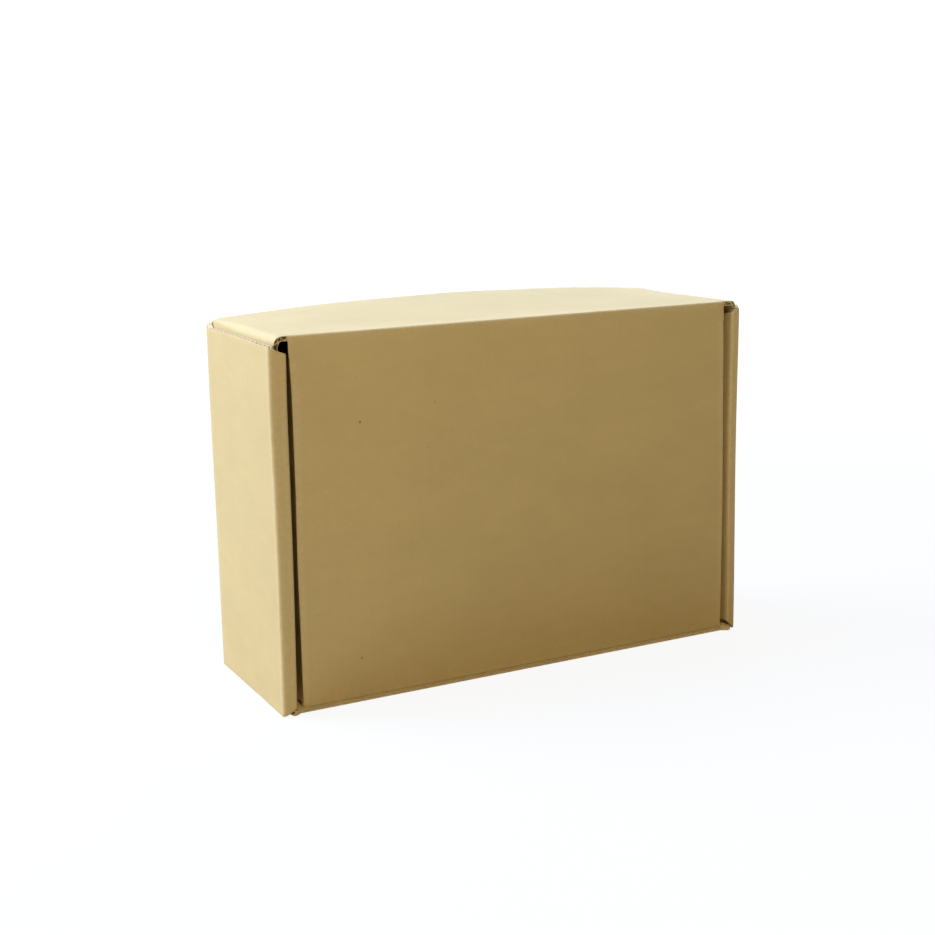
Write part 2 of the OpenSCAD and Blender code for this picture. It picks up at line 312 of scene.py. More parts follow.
def waviness(points):
    """Shift of each point by the slight waviness of hand-folded board: the sum of long sine waves in
    fixed random directions, faded out towards the floor and the hinge."""
    rng = np.random.default_rng(WAVE_SEED)
    waves = rng.normal(size=(WAVES, 3))
    waves /= np.linalg.norm(waves, axis=1)[:, None]
    waves *= 2 * math.pi / rng.uniform(*WAVE_LENGTHS, WAVES)[:, None]
    shift = np.sin(points @ waves.T + rng.uniform(0, WAVE_PHASE, WAVES))
    shift = shift @ rng.normal(0, WAVE_SWING, (WAVES, 3))
    from_hinge = np.linalg.norm(points[:, 1:] - [AXIS_Y, AXIS_Z], axis=1)
    fade = np.clip(points[:, 2] / WAVE_FADE, 0, 1) * np.clip(from_hinge / WAVE_FADE, 0, 1)
    return shift * fade[:, None]


def as_folded(points, body):
    """Points moved from the drawn box to the hand-folded one. The side walls' front folds stand proud of
    the lid, less towards the base, and the strips' inner edges move out, both evenly from a value at
    the top to one at the floor. The outer faces spread by the square of the way down. The lid's edges
    move right by values at shares of its height, and its flaps by less. The ears lean in by a bend
    that dies away exponentially with depth, and a slight slope."""
    x, y, z = points.T.copy()
    side, half = np.sign(x), np.abs(x)
    if body == "lid":
        down = (AXIS_Z - z) / (AXIS_Z - LID_LOW)
        left, right = np.interp(down, LID_DOWN, LID_LEFT), np.interp(down, LID_DOWN, LID_RIGHT)
        moved = left + (right - left) * (x / LID_X + 1) / 2
        follows = np.interp(y, [FACE_Y + BOARD, FACE_Y + SQUEEZE_REACH], [1, FLAPS_FOLLOW])
        leans = np.clip((z - EAR_LOW) / LEAN_RISE, 0, 1) * (half > TUCK_X + PLAY)
        deep = np.clip(y - FACE_Y - EAR_CREASE_R, 0, None)
        lean = (EAR_BEND * (1 - np.exp(-deep / BEND_REACH)) + EAR_SLOPE * deep) * leans * side
        return np.stack([x + follows * moved - lean, y, z], axis=1)
    down = 1 - z / BOX_H
    forward = np.interp(down, [0, 1], STRIP_PROUD) * np.clip((BASE_Y - y) / BOX_D, 0, 1)
    below_fold = np.clip((BOX_H - CORNER_R - z) / PROUD_RISE, 0, 1)
    y = y - forward * below_fold * np.clip((half - STRIP_X + PROUD_WIDTH) / PROUD_WIDTH, 0, 1)
    left, right = (top + (floor - top) * down for top, floor in (SQUEEZE[-1], SQUEEZE[1]))
    share = np.interp(half, [STRIP_X - SQUEEZE_WIDTH, STRIP_X, OUTER_X], [0, 1, 0])
    on_strip = np.clip((half - STRIP_X) / (OUTER_X - STRIP_X), 0, 1)
    spread = np.where(side < 0, SPREAD[-1], SPREAD[1]) * down ** 2 * on_strip
    moved = np.where(side < 0, left, right) * share + spread
    half = half + moved * np.clip(1 - (y - FACE_Y) / SQUEEZE_REACH, 0, 1)
    return np.stack([side * half, y, z], axis=1)


def in_scene(name, data):
    """New object of the data, linked to the scene."""
    made = bpy.data.objects.new(name, data)
    bpy.context.scene.collection.objects.link(made)
    return made


def make_piece(name, body, node, boards, materials):
    """Mesh of one piece from its boards: points that fall together are welded, quads whose corners fall
    together become triangles, and the raw edges get the second material."""
    offsets = np.cumsum([0] + [len(b[0]) for b in boards])
    points = np.concatenate([b[0] for b in boards])
    quads = np.concatenate([b[1] + offset for b, offset in zip(boards, offsets)])
    raw, blank, fold = (np.concatenate([b[k] for b in boards]) for k in (2, 3, 4))
    sheet = np.repeat(np.arange(len(boards)), [len(b[0]) for b in boards])
    key = np.concatenate([np.round(points / WELD), sheet[:, None]], axis=1)
    _, first, merged = np.unique(key, axis=0, return_index=True, return_inverse=True)
    points, blank, fold, quads = points[first], blank[first], fold[first], merged.ravel()[quads]
    differs = quads != np.roll(quads, 1, axis=1)
    crossed = (quads[:, 0] == quads[:, 2]) | (quads[:, 1] == quads[:, 3])
    whole, three = differs.all(axis=1) & ~crossed, (differs.sum(axis=1) == 3) & ~crossed
    triangles = quads[three][differs[three]].reshape(-1, 3)
    points = as_folded(points, body)
    points = points + waviness(points)
    mesh = bpy.data.meshes.new(name)
    mesh.from_pydata(points * MM, [], quads[whole].tolist() + triangles.tolist())
    on_cut = np.concatenate([raw[whole], raw[three]])
    mesh.polygons.foreach_set("material_index", on_cut.astype(np.int32))
    on_blank = mesh.attributes.new("blank", "FLOAT_VECTOR", "POINT")
    on_blank.data.foreach_set("vector", (blank * MM).ravel())
    mesh.attributes.new("fold", "FLOAT", "POINT").data.foreach_set("value", fold)
    mesh.polygons.foreach_set("use_smooth", np.ones(len(mesh.polygons), bool))
    mesh.update()
    mesh.set_sharp_from_angle(angle=SHARP)
    for material in materials:
        mesh.materials.append(material)
    piece = in_scene(name, mesh)
    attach(piece, body)
    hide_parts(node)
    return piece


def tab_lines():
    """Heights of the ends of the tabs and of their slots."""
    return [m + s * h for m in TAB_MIDDLES for s in (-1, 1) for h in (TAB_HALF, TAB_HALF + PLAY)]


def within_tabs(z, half):
    """Whether a height lies within half of a tab's middle."""
    return np.any([np.abs(z - m) < half for m in TAB_MIDDLES], axis=0)


def bow_share(y):
    """Share of the bow's rise at a place along y: none before BOW_START_Y, then a quadratic start that
    runs on as a straight slope to 1 at the far crease."""
    t = np.clip((y - BOW_START_Y) / (BASE_Y - CREASE_R - BOW_START_Y), 0, 1)
    return np.where(t < BOW_EASE, t ** 2 / (2 * BOW_EASE), t - BOW_EASE / 2) / (1 - BOW_EASE / 2)


def side_wall(side):
    """Outer side wall, roll-over strip and inner side wall: a section in x and y carried up along z.
    The raw ends keep the outer wall's height and slant in along the strip to the inner wall's, by a
    rise times a power of the share of the way. At the base panel both ends reach further out, and the
    lift raises the upper one along the strip."""
    c, e = CREASE_R, INSIDE_R
    wall_in, y_fold = OUTER_X - BOARD, BASE_Y - BOARD
    runs = [
        straight(run(WALL_X, OUTER_X - c, FINE, stops=[INNER_X + PLAY]), BASE_Y, y_fold, 0,
                 (WALL_X, wall_in - e)),
        crease((OUTER_X - c, BASE_Y - c), 90, 0,
               [(wall_in - e, y_fold), (wall_in, y_fold), (wall_in, y_fold - e)]),
        straight(run(BASE_Y - c, FACE_Y + c, FINE), OUTER_X, wall_in, 1, (-y_fold + e, y_fold - e)),
        crease((OUTER_X - c, FACE_Y + c), 0, -90,
               [(wall_in, -y_fold + e), (wall_in, -y_fold), (wall_in - e, -y_fold)]),
        straight(run(OUTER_X - c, STRIP_X + c, FINE), FACE_Y, -y_fold, 0, (INNER_X + e, wall_in - e)),
        crease((STRIP_X + c, FACE_Y + c), -90, -180,
               [(INNER_X + e, -y_fold), (INNER_X, -y_fold), (INNER_X, -y_fold + e)]),
        straight(run(FACE_Y + c, TAB_END_Y, FINE, stops=[OVER_BASE_Y]), STRIP_X, INNER_X, 1,
                 (-y_fold + e, TAB_END_Y)),
    ]
    outer, inner, length, fold, firsts = section(*runs)
    base_end, outer_start, outer_end, inner_start = length[firsts[[1, 2, 3, 6]]]
    on_strip = np.interp(length, [outer_end, inner_start], [0, 1])
    taper_low, taper_high = (rise * on_strip ** power for rise, power in (STRIP_BOTTOM[side], STRIP_TOP))
    corner = [base_end - CORNER_FADE, base_end, outer_start, outer_start + CORNER_FADE]
    low_corner = np.interp(length, corner[1:], LOW_SHARES)
    high_corner = np.interp(length, corner, HIGH_SHARES)
    lifted = [outer_end - LIFT_REACH, outer_end, inner_start, inner_start + LIFT_REACH]
    lift = STRIP_LIFT[side] * np.interp(length, lifted, [0, 1, 1, 0])
    lines = run(SIDE_LOW, SIDE_HIGH, SIDE_STEP, NEAR_SIDE, tab_lines())
    z = towards(lines[:, None], SIDE_LOW, SIDE_HIGH, taper_low - CORNER_LOW * low_corner,
                taper_high - CORNER_HIGH * high_corner - lift, SIDE_REACH)
    between, place = (lines[1:] + lines[:-1]) / 2, (outer[1:] + outer[:-1]) / 2
    part = np.arange(len(outer) - 1)
    in_slot = (part < firsts[1]) & (place[:, 0] < INNER_X + PLAY)
    on_tab = (part >= firsts[6]) & (place[:, 1] > OVER_BASE_Y)
    present = (~(in_slot & within_tabs(between, SLOT_HALF)[:, None])
               & ~(on_tab & ~within_tabs(between, TAB_HALF)[:, None]))
    grids = [grid(side * p[:, 0], p[:, 1], z) for p in (outer, inner)]
    inner_end = np.where(length >= inner_start, np.abs(OVER_BASE_Y - outer[:, 1]), FAR)
    raw = np.minimum(np.minimum(lines - SIDE_LOW, SIDE_HIGH - lines)[:, None], inner_end)
    grids = pinched(*grids, raw)
    opened = (1 - CRUSHED * fold) * (length > 0) * (low_corner == 0)
    return [board(*grids, side * (WALL_X + length), z, fold, opened, present)]


def centre_band():
    """Front wall, base panel and back wall: a section in y and z carried along x. The part above the
    base panel is raised by the bow, a parabola in x times the share of the rise at y. The cells in the
    slots and beyond the hinge are left out."""
    c, e = CREASE_R, INSIDE_R
    y_fold, top_in = BASE_Y - BOARD, BOX_H - BOARD
    runs = [
        straight(run(FACE_Y, BASE_Y - c, FRONT_STEP, NEAR_EDGE), 0, BOARD, 0, (FACE_Y, y_fold - e)),
        crease((BASE_Y - c, c), -90, 0, [(y_fold - e, BOARD), (y_fold, BOARD), (y_fold, BOARD + e)]),
        straight(run(c, BOX_H - c, BASE_STEP, NEAR_FOLD, tab_lines()), BASE_Y, y_fold, 1,
                 (BOARD + e, top_in - e)),
        crease((BASE_Y - c, BOX_H - c), 0, 90,
               [(y_fold, top_in - e), (y_fold, top_in), (y_fold - e, top_in)]),
        straight(run(BASE_Y - c, RAW_EDGE_Y, BACK_STEP, NEAR_HINGE, [AXIS_Y, BOW_START_Y]), BOX_H,
                 top_in, 0, (RAW_EDGE_Y, y_fold - e)),
    ]
    outer, inner, _, fold, firsts = section(*runs)
    stops = STRIP_X - PLAY, LID_X + PLAY / 2, LID_X - LID_SLANT + PLAY
    x = run(-WALL_X, WALL_X, FINE, stops=[side * stop for side in (-1, 1) for stop in stops])
    rise = BOW * (1 - (x / WALL_X) ** 2)
    point = np.arange(len(outer))
    up_base = np.clip((outer[:, 1] - BOW_FROM_Z) / (BOX_H - c - BOW_FROM_Z), 0, 1)
    share = np.where(point < firsts[3], up_base, bow_share(outer[:, 0]))
    grids = [grid(x, p[:, :1], p[:, 1:] + share[:, None] * rise) for p in (outer, inner)]
    place, between = (outer[1:] + outer[:-1])[:, :, None] / 2, np.abs(x[1:] + x[:-1]) / 2
    part = point[:-1, None]
    slot = ((part >= firsts[2]) & (part < firsts[3]) & within_tabs(place[:, 1], SLOT_HALF)
            & (between > STRIP_X - PLAY))
    hinge = (part >= firsts[4]) & (place[:, 0] < AXIS_Y) & (between < LID_X + PLAY / 2)
    front_edge = np.where(point < firsts[1], outer[:, 0] - FACE_Y, FAR)
    hinge_edge = np.where(point >= firsts[4], outer[:, 0] - RAW_EDGE_Y, FAR)
    raw = np.minimum(front_edge[:, None], np.where(np.abs(x) > LID_X, hinge_edge[:, None], FAR))
    grids = pinched(*grids, raw)
    along = outer[:, 1] + (BASE_Y - outer[:, 0]) * np.where(point < firsts[2], -1, 1)
    opened = np.where(point < 2, FRONT_EDGE_OPEN, 1.0)[:, None] * np.where(np.abs(x) < WALL_X, 1, 0)
    return [board(*grids, x, along[:, None], fold[:, None], opened, ~(slot | hinge))]


def corner_flap(side, upper):
    """Corner flap of the back wall, or of the front wall if upper is false: a section in x and z, an arc
    that leaves the wall at its own slope and then a straight flap, carried along y. Towards the base
    the upper arc is pushed out into the corner, by a half sine along it. The arc starts at the wall's
    raw edge and the flap lies behind the strip. The flap's long edges slant in, and its free corners
    are round."""
    start_y = RAW_EDGE_Y if upper else FACE_Y
    flat = FLAP_LEN - CORNER_R
    lines = run(start_y, OVER_BASE_Y, FLAP_STEP, NEAR_EDGE)
    slope = np.arctan(2 * BOW * bow_share(lines) / WALL_X)[:, None] * upper
    radius = CORNER_R / (1 - np.sin(slope))
    depth = np.concatenate([NEAR_FLAP, np.linspace(FLAP_FROM, flat - FLAP_CORNER_R, FLAP_LINES),
                            corner_depths(flat, FLAP_CORNER_R, first=15, step=15)])
    turn = np.linspace(0, 1, BEND_STEPS + 1)
    angle = slope + (math.pi / 2 - slope) * turn
    centre_x, centre_z = WALL_X - radius * np.sin(slope), -radius * np.cos(slope)
    near_base = np.clip(1 - (OVER_BASE_Y - lines) / FILL_REACH, 0, 1)[:, None]
    fill = FOLD_FILL * upper * near_base * np.sin(math.pi * turn)

    def skin(inset):
        """x and z of the skin that lies inset from the outer one."""
        bend_x = centre_x + (radius - inset) * np.sin(angle)
        bend_z = centre_z + (radius - inset) * np.cos(angle)
        bend_x = bend_x + fill * (FLAP_X - centre_x - radius * np.sin(angle))
        bend_z = bend_z + fill * (np.tan(slope) * (WALL_X - FLAP_X) - centre_z - radius * np.cos(angle))
        flap_z = centre_z - depth[1:] * (FLAP_LEN + centre_z) / flat
        x = np.concatenate([bend_x, np.full(flap_z.shape, FLAP_X - inset)], axis=1)
        z = np.concatenate([bend_z, flap_z], axis=1)
        return side * x, BOX_H + z if upper else -z

    below = np.concatenate([np.full(len(turn), 0.0), depth[1:]])
    slant = FLAP_SLANT * below / flat + rounded_inset(below, flat, FLAP_CORNER_R)
    round_fold = np.concatenate([turn, np.ones(len(depth) - 1)])
    behind = below / UPPER_OVER if upper else (round_fold - LOWER_FROM) / LOWER_OVER
    step = (UNDER_STRIP_Y - start_y + (0 if upper else FLAP_RELIEF)) * np.clip(behind, 0, 1)
    y = towards(lines[:, None], start_y, OVER_BASE_Y, step + slant, slant, FLAP_REACH)
    grids = [grid(x, y, z) for x, z in (skin(0), skin(BOARD))]
    length = np.concatenate([CORNER_R * math.pi / 2 * turn, CORNER_R * math.pi / 2 + depth[1:]])
    raw = np.minimum(lines - start_y, OVER_BASE_Y - lines)[:, None] + 0 * length
    grids = pinched(*grids, raw)
    fold = FLAP_NEARNESS * np.exp(-((below / FOLD_SPREAD) ** 2)) * (length > 0)
    along = BOX_H + BASE_Y - y if upper else y - BASE_Y
    opened = np.where(length > 0, 1.0, 0.0)
    return [board(*grids, side * (WALL_X + length), along, fold, opened)]


def lid_edge(z):
    """Half width of the lid at a height: it narrows evenly from the hinge to the free edge."""
    return LID_X - LID_SLANT * (AXIS_Z - z) / (AXIS_Z - LID_LOW)


def beside_ear(x):
    """Nearness of a place on the lid to an ear's crease: a bell curve of the distance from it."""
    return np.exp(-(((LID_X - EAR_CREASE_R - np.abs(x)) / FOLD_SPREAD) ** 2))


def knuckle():
    """Rounded hinge edge of the lid: each skin runs a quarter circle from the same top line."""
    t = np.radians(np.linspace(90, 0, BEND_STEPS + 1))
    r = BOARD / 2
    outer = np.stack([AXIS_Y - r * np.cos(t), AXIS_Z + r * np.sin(t)], axis=1)
    inner = np.stack([AXIS_Y + r * np.cos(t), AXIS_Z + r * np.sin(t)], axis=1)
    return outer, inner, True


def lid_band():
    """Lid and tuck flap between the ears: a section in y and z carried along x. It starts at the hinge's
    top line, runs down the face, round the crease and in along the leaning flap, whose free corners
    are round."""
    c, e, lean = TUCK_CREASE_R, INSIDE_R, TUCK_LEAN
    inside_y = FACE_Y + BOARD
    way, down = np.array([math.cos(lean), math.sin(lean)]), np.array([math.sin(lean), -math.cos(lean)])
    centre = np.array([FACE_Y + c, LID_LOW + c])
    root = centre + c * down
    round_corner = corner_depths(TUCK_LEN - TUCK_START, TUCK_CORNER_R, first=0, step=10)
    depth = np.concatenate([NEAR_TUCK, round_corner])[:, None]
    inner_root = np.array([inside_y, LID_LOW + BOARD]) + e * way
    runs = [
        knuckle(),
        straight(run(AXIS_Z, LID_LOW + c, LID_STEP, NEAR_FOLD), FACE_Y, inside_y, 1,
                 (LID_LOW + BOARD + e, AXIS_Z)),
        crease(centre, 180, 270 + math.degrees(lean),
               [(inside_y, LID_LOW + BOARD + e), (inside_y, LID_LOW + BOARD), inner_root], radius=c),
        (root + depth * way, inner_root + depth * way, False),
    ]
    outer, inner, length, fold, firsts = section(*runs)
    on_flap = np.clip(length - length[firsts[3]], 0, None)
    x = run(-TUCK_X, TUCK_X, FINE)
    inset = rounded_inset(on_flap, on_flap.max(), TUCK_CORNER_R)[:, None]
    across = x - np.sign(x) * inset * np.clip(1 - (TUCK_X - np.abs(x)) / TUCK_LEN, 0, 1)
    grids = [grid(across, p[:, :1], p[:, 1:]) for p in (outer, inner)]
    raw = (on_flap.max() - on_flap)[:, None] + 0 * x
    grids = pinched(*grids, np.where(on_flap[:, None] > 0, raw, FAR))
    opened = np.where(np.abs(x) < TUCK_X, 1.0, 0.0) * np.where(length > HINGE_CLOSED, 1, 0)[:, None]
    along = 2 * BASE_Y - FACE_Y + 2 * BOX_H - AXIS_Z + length[:, None]
    fold = np.maximum(fold[:, None], np.where(on_flap[:, None] > 0, 0, beside_ear(x)))
    return [board(*grids, across, along, fold, opened)]


def ear(side):
    """Side ear with the lid's margin beside it: a section in x and y, the margin, the crease and the
    ear, carried along the lid's slanting edge. The margin alone runs on below and above the ear, and
    the upper one ends in the hinge's rounded edge."""
    c, e = EAR_CREASE_R, INSIDE_R
    edge, inside_y = LID_X, FACE_Y + BOARD
    ear_in = edge - BOARD
    end_y = FACE_Y + EAR_DEPTH
    runs = [
        straight(run(TUCK_X, edge - c, FINE), FACE_Y, inside_y, 0, (TUCK_X, ear_in - e)),
        crease((edge - c, FACE_Y + c), -90, 0,
               [(ear_in - e, inside_y), (ear_in, inside_y), (ear_in, inside_y + e)], radius=c),
        straight(run(FACE_Y + c, end_y, FINE, NEAR_EDGE), edge, ear_in, 1, (inside_y + e, end_y)),
    ]
    outer, inner, length, fold, firsts = section(*runs)
    lines = run(EAR_LOW, EAR_HIGH, EAR_STEP, NEAR_EAR)
    inset = rounded_inset(outer[:, 1] - FACE_Y, EAR_DEPTH, EAR_CORNER_R)
    z = towards(lines[:, None], EAR_LOW, EAR_HIGH, inset, inset, EAR_REACH)
    shift = (lid_edge(lines) - edge)[:, None]

    def skin(p):
        """Grid of a skin from its section: the margin's places are shifted by their share of the way
        out, the rest by all of the lid's narrowing."""
        moves = np.clip((p[:, 0] - TUCK_X) / (edge - c - TUCK_X), 0, 1)
        moves[firsts[1]:] = 1
        return grid(side * (p[:, 0] + moves * shift), p[:, 1], z)

    on_ear = np.arange(len(length)) > firsts[1]
    raw = np.where(on_ear, np.minimum(np.minimum(lines - EAR_LOW, EAR_HIGH - lines)[:, None],
                                      end_y - outer[:, 1]), FAR)
    grids = pinched(skin(outer), skin(inner), raw)
    along = 2 * BASE_Y - FACE_Y + 2 * BOX_H - z
    return [board(*grids, side * (TUCK_X + length), along, fold, 1.0 * on_ear),
            lid_margin(side, EAR_LOW, LID_LOW), lid_margin(side, AXIS_Z, EAR_HIGH)]


def lid_margin(side, top, low):
    """Margin of the lid beyond one end of an ear: flat board between two heights, from the tuck flap's
    width out to the lid's slanting edge. The upper one starts in the hinge's rounded edge."""
    down = straight(run(top, low, MARGIN_STEP, NEAR_EDGE), FACE_Y, FACE_Y + BOARD, 1, (low, top))
    at_hinge = top == AXIS_Z
    if at_hinge:
        outer, inner, _, fold, _ = section(knuckle(), down)
    else:
        outer, inner, fold = down[0], down[1], np.zeros(len(down[0]))
    z = outer[:, 1:]
    reach = np.linspace(0, 1, MARGIN_LINES)
    x = side * (TUCK_X + reach * (lid_edge(np.minimum(z, AXIS_Z)) - TUCK_X))
    grids = [grid(x, p[:, :1], p[:, 1:]) for p in (outer, inner)]
    to_side = (1 - reach) * (LID_X - TUCK_X)
    raw = to_side + np.where(z > AXIS_Z, FAR, 0) if at_hinge else np.minimum(to_side, z - LID_LOW)
    opened = np.where(reach > 0, 1.0, 0.0) * np.where(z == low, 0 if at_hinge else 1, 1)
    along = 2 * BASE_Y - FACE_Y + 2 * BOX_H - z
    fold = np.maximum(fold[:, None], beside_ear(TUCK_X) * (1 - reach))
    return board(*pinched(*grids, raw), x, along, fold, opened)


class Nodes:
    """Small helper that adds nodes to a tree and links them."""

    def __init__(self, tree):
        self.tree = tree

    def add(self, kind, settings=None, **inputs):
        """Adds a node. Settings are its properties, and inputs are sockets by name or n0, n1 by
        number, each given a value or the socket that feeds it."""
        node = self.tree.nodes.new(kind)
        for key, value in (settings or {}).items():
            setattr(node, key, value)
        for key, value in inputs.items():
            numbered = key[0] == "n" and key[1:].isdigit()
            socket = node.inputs[int(key[1:]) if numbered else key.replace("_", " ")]
            if isinstance(value, bpy.types.NodeSocket):
                self.tree.links.new(value, socket)
            else:
                socket.default_value = value
        return node

    def math(self, operation, a, b=0.0, clamp=False):
        """Result of a math node, held between 0 and 1 if clamp is set."""
        settings = {"operation": operation, "use_clamp": clamp}
        return self.add("ShaderNodeMath", settings, n0=a, n1=b).outputs[0]

    def span(self, value, low, high, out_low=0.0, out_high=1.0):
        """Value between low and high mapped evenly to out_low and out_high, and held beyond them."""
        return self.add("ShaderNodeMapRange", {"clamp": True}, n0=value, n1=low, n2=high,
                        n3=out_low, n4=out_high).outputs[0]

    def noise(self, vector, scale, detail=3.0, roughness=0.55):
        """Noise from 0 to 1 at a place."""
        return self.add("ShaderNodeTexNoise", {"normalize": True}, Vector=vector, Scale=scale,
                        Detail=detail, Roughness=roughness).outputs["Fac"]

    def group(self, tree, **inputs):
        """Outputs of a node group with these inputs."""
        return self.add("ShaderNodeGroup", {"node_tree": tree}, **inputs).outputs

    def stretched(self, vector, scale, turn=0.0):
        """Vector turned about its third axis and then scaled on each axis."""
        return self.add("ShaderNodeMapping", {"vector_type": "TEXTURE"}, Vector=vector,
                        Rotation=(0, 0, turn), Scale=scale).outputs[0]


def group(name, inputs, outputs, build):
    """Shader node group with named float, vector and colour sockets, filled by build."""
    tree = bpy.data.node_groups.new(name, "ShaderNodeTree")
    for socket, kind, value in inputs:
        made = tree.interface.new_socket(socket, in_out="INPUT", socket_type="NodeSocket" + kind)
        if value is not None:
            made.default_value = value
    for socket, kind in outputs:
        tree.interface.new_socket(socket, in_out="OUTPUT", socket_type="NodeSocket" + kind)
    entry, leave = tree.nodes.new("NodeGroupInput"), tree.nodes.new("NodeGroupOutput")
    for socket, value in build(Nodes(tree), entry.outputs).items():
        tree.links.new(value, leave.inputs[socket])
    return tree


def build_fibres(n, given):
    """Paper fibres: short streaks in three directions from stretched noise, over a fine tooth."""
    streaks = []
    for turn in (0.15, 1.2, 2.3):
        vector = n.stretched(given["Blank"], (6.0, 0.8, 1.0), turn)
        streaks.append(n.noise(vector, 1500.0, 2.0))
    mixed = n.math("MULTIPLY", n.math("ADD", n.math("ADD", streaks[0], streaks[1]), streaks[2]), 1 / 3)
    tooth = n.noise(given["Blank"], 2600.0, 2.0)
    height = n.math("ADD", n.math("MULTIPLY", mixed, 0.7), n.math("MULTIPLY", tooth, 0.3))
    tone = n.span(height, 0.4, 0.6, -1.0, 1.0)
    return {"Height": height, "Tone": n.math("MULTIPLY", tone, given["Strength"])}


def build_clouds(n, given):
    """Uneven stock: soft patches of about 40 mm and 7 mm, drawn out along the paper's run."""
    wide = n.noise(n.stretched(given["Blank"], (1.7, 1.0, 1.0)), 26.0, 2.0)
    small = n.noise(n.stretched(given["Blank"], (2.4, 1.0, 1.0)), 150.0, 3.0)
    tone = n.math("ADD", n.span(wide, 0.3, 0.7, -0.6, 0.6), n.span(small, 0.3, 0.7, -0.4, 0.4))
    return {"Tone": n.math("MULTIPLY", tone, given["Strength"])}


def build_flutes(n, given):
    """Flutes showing through the liner: a sine across them, stronger in some patches."""
    apart = n.add("ShaderNodeSeparateXYZ", n0=given["Blank"]).outputs[0]
    wave = n.math("SINE", n.math("MULTIPLY", apart, 2 * math.pi / (FLUTE_PITCH * MM)))
    patch = n.span(n.noise(given["Blank"], 34.0, 1.0), 0.3, 0.7, 0.45, 1.0)
    return {"Height": n.math("MULTIPLY", wave, patch)}


def build_rub_and_highlight(n, given):
    """Folds made lighter, partly as rubbed fibres and partly as a painted highlight on their rounds: the
    fold's nearness broken up by noise drawn out along it.
    """
    break_up = n.noise(given["Blank"], 420.0, 4.0, 0.65)
    mask = n.math("MULTIPLY", given["Fold"], n.span(break_up, 0.32, 0.62))
    return {"Mask": n.math("MULTIPLY", mask, given["Strength"], clamp=True)}


def build_specks(n, given):
    """Shives in the stock: a few cells of a cell pattern, chosen by their random colour, hold a dot."""
    cells = n.add("ShaderNodeTexVoronoi", {"feature": "F1"}, Vector=given["Blank"], Scale=given["Scale"])
    apart = n.add("ShaderNodeSeparateXYZ", n0=cells.outputs["Color"])
    chosen = n.math("GREATER_THAN", apart.outputs[0], given["Rarity"])
    dot = n.span(cells.outputs["Distance"], 0.02, given["Size"], 1.0, 0.0)
    return {"Mask": n.math("MULTIPLY", dot, chosen)}


def build_spot(n, given):
    """One spot: 1 at its centre, falling to 0 at its radius, with an uneven outline."""
    away = n.add("ShaderNodeVectorMath", {"operation": "DISTANCE"}, n0=given["Vector"],
                 n1=given["Centre"])
    uneven = n.span(n.noise(given["Vector"], 1400.0, 2.0), 0.3, 0.7, 0.75, 1.3)
    share = n.math("DIVIDE", n.math("MULTIPLY", away.outputs["Value"], uneven), given["Radius"])
    return {"Mask": n.span(share, 0.45, 1.0, 1.0, 0.0)}


def empty_material(name):
    """New material without nodes, and the helper that fills it."""
    material = bpy.data.materials.new(name)
    material.use_nodes = True
    material.node_tree.nodes.clear()
    return material, Nodes(material.node_tree)


BLANK = ("Blank", "Vector", None)
STRENGTH = ("Strength", "Float", 1.0)
HEIGHT, TONE, MASK = (("Height", "Float"), ("Tone", "Float"), ("Mask", "Float"))
FIBRES = group("paper_fibres", [BLANK, STRENGTH], [HEIGHT, TONE], build_fibres)
CLOUDS = group("uneven_stock", [BLANK, STRENGTH], [TONE], build_clouds)
FLUTES = group("flutes_showing", [BLANK], [HEIGHT], build_flutes)
RUB_AND_HIGHLIGHT = group("rubbed_and_highlit_folds", [BLANK, ("Fold", "Float", 0.0), STRENGTH], [MASK], build_rub_and_highlight)
SPECKS = group("shives", [BLANK, ("Scale", "Float", 60.0), ("Rarity", "Float", 0.9),
                          ("Size", "Float", 0.1)], [MASK], build_specks)
SPOT = group("spot", [("Vector", "Vector", None), ("Centre", "Vector", None),
                      ("Radius", "Float", 0.001)], [MASK], build_spot)

# Kraft liner, the fibres laid bare at a fold, which also stands in for a painted highlight on the fold's
# round, the cut edge, lightened partly as painted light against the shade it lies in, and shives in the
# stock
KRAFT = (0.61, 0.44, 0.208)
# Painted highlight: the lighter fold colour stands partly for rubbed fibres and partly for the light on
# the folds' rounds
RUBBED_AND_HIGHLIT = (0.70, 0.55, 0.33)
# Painted light: the cut edge's colour is lighter than the cut fibres alone would be, to offset the shade
# in which the edges lie
CUT_WITH_PAINTED_LIGHT = (0.76, 0.61, 0.38)
SHIVE = (0.10, 0.06, 0.03)
PALE_SHIVE = (0.80, 0.68, 0.46)
PAPER_SHINE, SHIVE_SHARE = 0.3, 0.3
# For the face and the cut: strength of the fibres' and the clouds' tone, relief in millimetres, and
# roughness as a share of the fibres' tone and a middle value
FACE_TONES, CUT_TONES = (0.035, 0.05), (0.10, 0.10)
FLUTE_RELIEF, FIBRE_RELIEF, CUT_RELIEF = 0.022, 0.05, 0.15
FACE_ROUGH, CUT_ROUGH = (1.2, 0.78), (0.5, 0.9)
# Marks on the lid: place on the face as x and z, radius and share of the mark's colour
DARK_MARKS = (((-102.9, 162.3), 0.9, 0.75), ((-106.1, 26.1), 0.8, 0.65), ((-56.6, 169.1), 0.7, 0.35))
PALE_MARKS = (((-124.5, 125.3), 0.9, 0.4),)


def paper(n, base, tones):
    """Place on the blank, the fibres there, and the base colour times 1 plus the tones of both fibres
    and clouds."""
    blank = n.add("ShaderNodeAttribute", {"attribute_name": "blank"}).outputs["Vector"]
    fibres = n.group(FIBRES, Blank=blank, Strength=tones[0])
    clouds = n.group(CLOUDS, Blank=blank, Strength=tones[1])
    tone = n.math("ADD", n.math("ADD", fibres["Tone"], clouds["Tone"]), 1.0)
    scaled = n.add("ShaderNodeVectorMath", {"operation": "SCALE"}, n0=base, Scale=tone)
    return blank, fibres, scaled.outputs[0]


